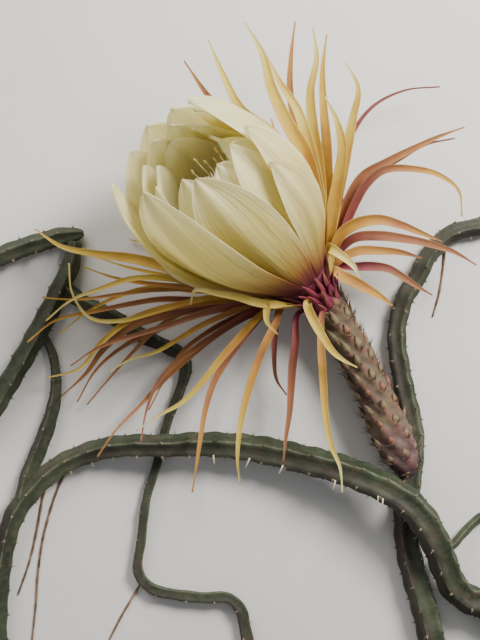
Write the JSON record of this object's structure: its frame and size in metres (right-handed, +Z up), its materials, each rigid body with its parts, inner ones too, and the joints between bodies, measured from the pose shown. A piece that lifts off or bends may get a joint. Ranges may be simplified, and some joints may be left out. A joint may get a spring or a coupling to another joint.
{
  "type": "orchid cactus",
  "caption": "Cut flowering stems of an orchid cactus, laid down: ribbed climbing stems with a large half-open cream bloom ringed by narrow amber sepals.",
  "frame": {"origin": "on the surface that the stems lie on, at the middle of the small flat under the main stem, below the areole that bears the flower", "axes": "+Z up from the surface, +Y along the main stem from its cut end towards its growing tip, +X to the right seen from above"},
  "size_m": [0.2679, 0.3557, 0.0941],
  "materials": {
    "stem_green": "waxy ribbed cactus skin, dark brownish green",
    "root_brown": "dry aerial root, brown",
    "tube_brown": "scaly, bristly flower tube, brownish green",
    "sepal_amber": "thin fleshy sepal, amber to pale yellow",
    "petal_cream": "thin translucent petal, cream white",
    "stamen_yellow": "thin threads with pollen, pale yellow",
    "pistil_cream": "soft style and stigma, cream"
  },
  "bodies": {
    "root": {"stem_main": "stem_green", "stem_arching": "stem_green", "stem_trailing": "stem_green", "stem_left": "stem_green", "branch_left": "stem_green", "branch_low_left": "stem_green", "side_shoot": "stem_green", "aerial_root_outer": "root_brown", "aerial_root_inner": "root_brown", "aerial_root_low": "root_brown", "aerial_root_right": "root_brown", "flower_tube": "tube_brown", "sepals": "sepal_amber", "petals": "petal_cream", "stamens": "stamen_yellow", "pistil": "pistil_cream"}
  },
  "joints": []
}
